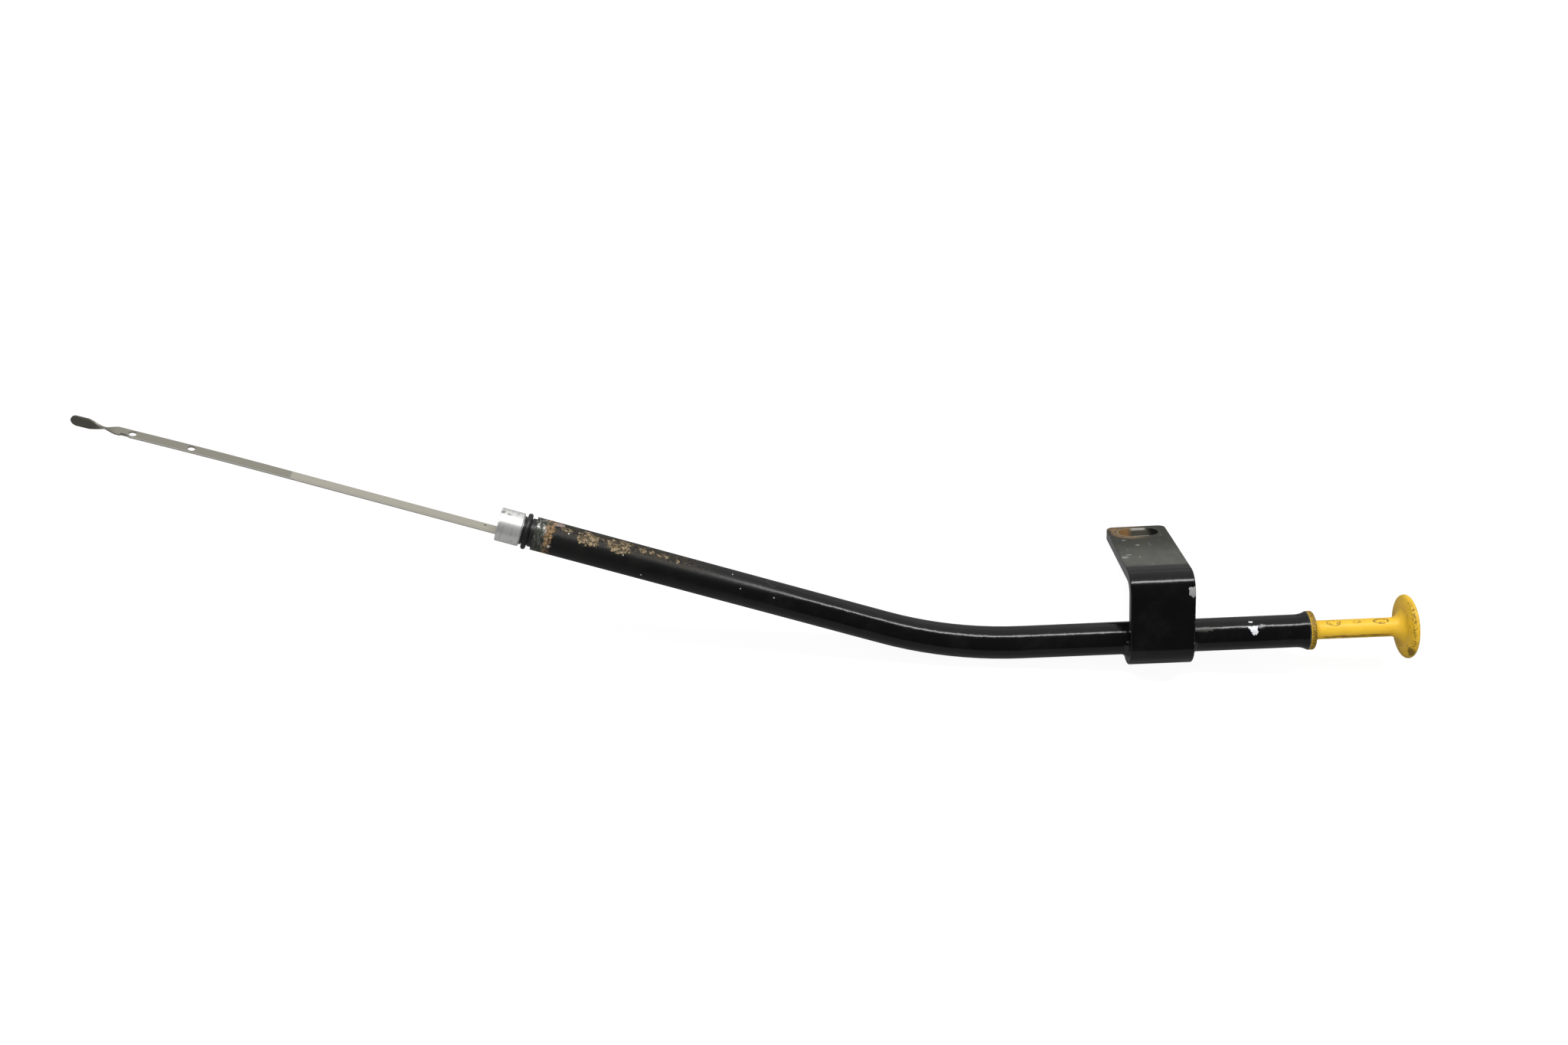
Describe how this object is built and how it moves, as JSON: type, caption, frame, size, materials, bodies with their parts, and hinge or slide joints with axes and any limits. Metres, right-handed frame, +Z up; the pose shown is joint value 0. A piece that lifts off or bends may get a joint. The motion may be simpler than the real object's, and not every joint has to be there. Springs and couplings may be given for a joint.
{
  "type": "engine oil dipstick",
  "caption": "Bent black steel guide tube with a folded slotted bracket, an aluminium end fitting with a seal, and a steel blade on a yellow moulded handle, to read an engine's oil level.",
  "frame": {"origin": "middle of the footprint's box, on the floor that the part lies on", "axes": "+X from the blade's tip towards the knob, +Y towards the bracket's flange, +Z up from the floor"},
  "size_m": [0.47, 0.066, 0.0882],
  "materials": {
    "black_paint": "gloss black paint, worn and rusted in places",
    "aluminium": "turned, dull and stained",
    "seal_rubber": "black rubber",
    "blade_steel": "dull, oil-stained spring steel",
    "yellow_plastic": "moulded plastic, soiled"
  },
  "bodies": {
    "root": {"guide_tube": "black_paint", "bracket": "black_paint", "left_braze_bead": "black_paint", "right_braze_bead": "black_paint", "end_fitting": "aluminium", "fitting_seal": "seal_rubber", "blade": "blade_steel", "handle": "yellow_plastic", "mouth_seal": "seal_rubber"}
  },
  "joints": []
}
